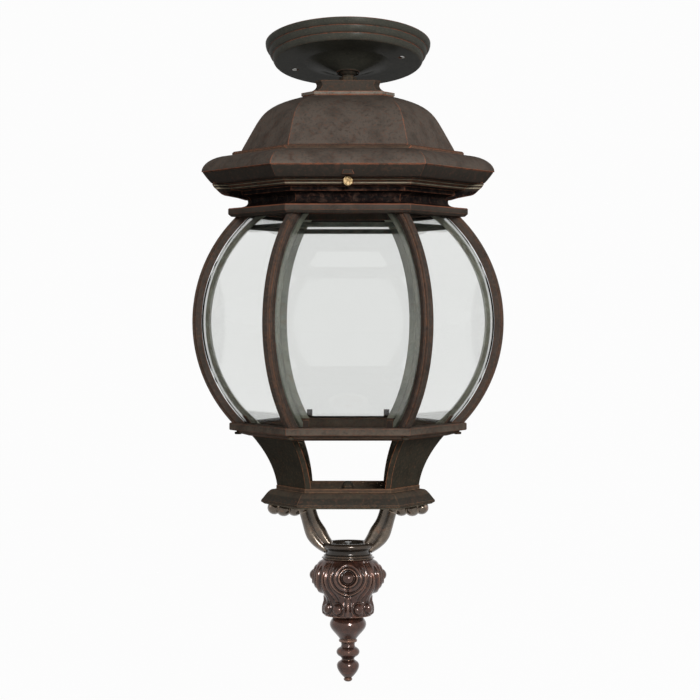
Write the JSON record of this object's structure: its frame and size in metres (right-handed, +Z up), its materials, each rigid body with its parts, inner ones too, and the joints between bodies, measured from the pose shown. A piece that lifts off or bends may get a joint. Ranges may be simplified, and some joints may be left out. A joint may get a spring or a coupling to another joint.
{
  "type": "porch ceiling lantern",
  "caption": "Hexagonal porch ceiling lantern in aged bronze, with bent clear glass panes, an open waist, a leaf body and a drop finial under a round stepped canopy on a swivel.",
  "frame": {"origin": "centre of the canopy's two fixing holes, in the middle of its plate, which is also the centre of the swivel", "axes": "+Z up along the lantern's hanging axis, -Y out through the front pane, +X through the right-hand corner rib"},
  "size_m": [0.2644, 0.231, 0.5569],
  "materials": {
    "canopy_bronze": "satin",
    "cast_bronze": "satin",
    "frame_bronze": "satin",
    "scroll_bronze": "satin",
    "clear_glass": "gloss",
    "brass": "satin",
    "steel": "satin",
    "porcelain": "gloss",
    "lead_insulation": "matte"
  },
  "bodies": {
    "canopy": {"canopy": "canopy_bronze"},
    "swivel": {"swivel_washer": "brass"},
    "hanger": {"hanger_tube": "steel", "hanger_nut": "brass", "jam_nut": "brass", "neck": "cast_bronze", "roof": "cast_bronze", "roof_nut": "steel", "lampholder_cap": "porcelain", "lampholder_body": "porcelain", "screw_shell": "brass", "centre_contact": "brass", "lamp_leads": "lead_insulation", "earth_screw": "brass"},
    "cage": {"cage_head": "cast_bronze", "clamp_nuts": "steel", "rib_1": "frame_bronze", "glass_1": "clear_glass", "strip_1": "frame_bronze", "rib_2": "frame_bronze", "glass_2": "clear_glass", "strip_2": "frame_bronze", "rib_3": "frame_bronze", "glass_3": "clear_glass", "strip_3": "frame_bronze", "rib_4": "frame_bronze", "glass_4": "clear_glass", "strip_4": "frame_bronze", "rib_5": "frame_bronze", "glass_5": "clear_glass", "strip_5": "frame_bronze", "rib_6": "frame_bronze", "glass_6": "clear_glass", "strip_6": "frame_bronze", "inner_ring": "frame_bronze", "glass_clips": "frame_bronze", "base_ring": "cast_bronze", "rib_screws": "steel", "waist_left": "cast_bronze", "waist_right": "cast_bronze", "tray": "cast_bronze", "cap_nut": "steel", "tray_screws": "steel", "arm_left": "scroll_bronze", "arm_right": "scroll_bronze", "cup": "scroll_bronze", "leaf_body": "scroll_bronze", "finial_rod": "steel", "finial_nut": "steel", "finial": "scroll_bronze"},
    "thumbscrew_1": {"thumbscrew_1": "brass"},
    "thumbscrew_2": {"thumbscrew_2": "brass"},
    "thumbscrew_3": {"thumbscrew_3": "brass"}
  },
  "joints": [
    {"name": "swivel_tilt", "type": "hinge", "parent": "canopy", "child": "swivel", "pos_m": [0, 0, 0], "axis": [1, 0, 0], "range_deg": [-32, 8]},
    {"name": "swivel_turn", "type": "hinge", "parent": "swivel", "child": "hanger", "pos_m": [0, 0, 0], "axis": [0, 0, 1], "range_deg": [-170, 170]},
    {"name": "cage_drop", "type": "slide", "parent": "hanger", "child": "cage", "axis": [0, 0, -1], "range_m": [0, 0.06]},
    {"name": "thumbscrew_1_turn", "type": "hinge", "parent": "cage", "child": "thumbscrew_1", "pos_m": [0, -0.091, -0.1054], "axis": [0, -1, 0], "range_deg": [0, 900]},
    {"name": "thumbscrew_2_turn", "type": "hinge", "parent": "cage", "child": "thumbscrew_2", "pos_m": [0.07881, 0.0455, -0.1054], "axis": [0.866, 0.5, 0], "range_deg": [0, 900]},
    {"name": "thumbscrew_3_turn", "type": "hinge", "parent": "cage", "child": "thumbscrew_3", "pos_m": [-0.07881, 0.0455, -0.1054], "axis": [-0.866, 0.5, 0], "range_deg": [0, 900]}
  ]
}
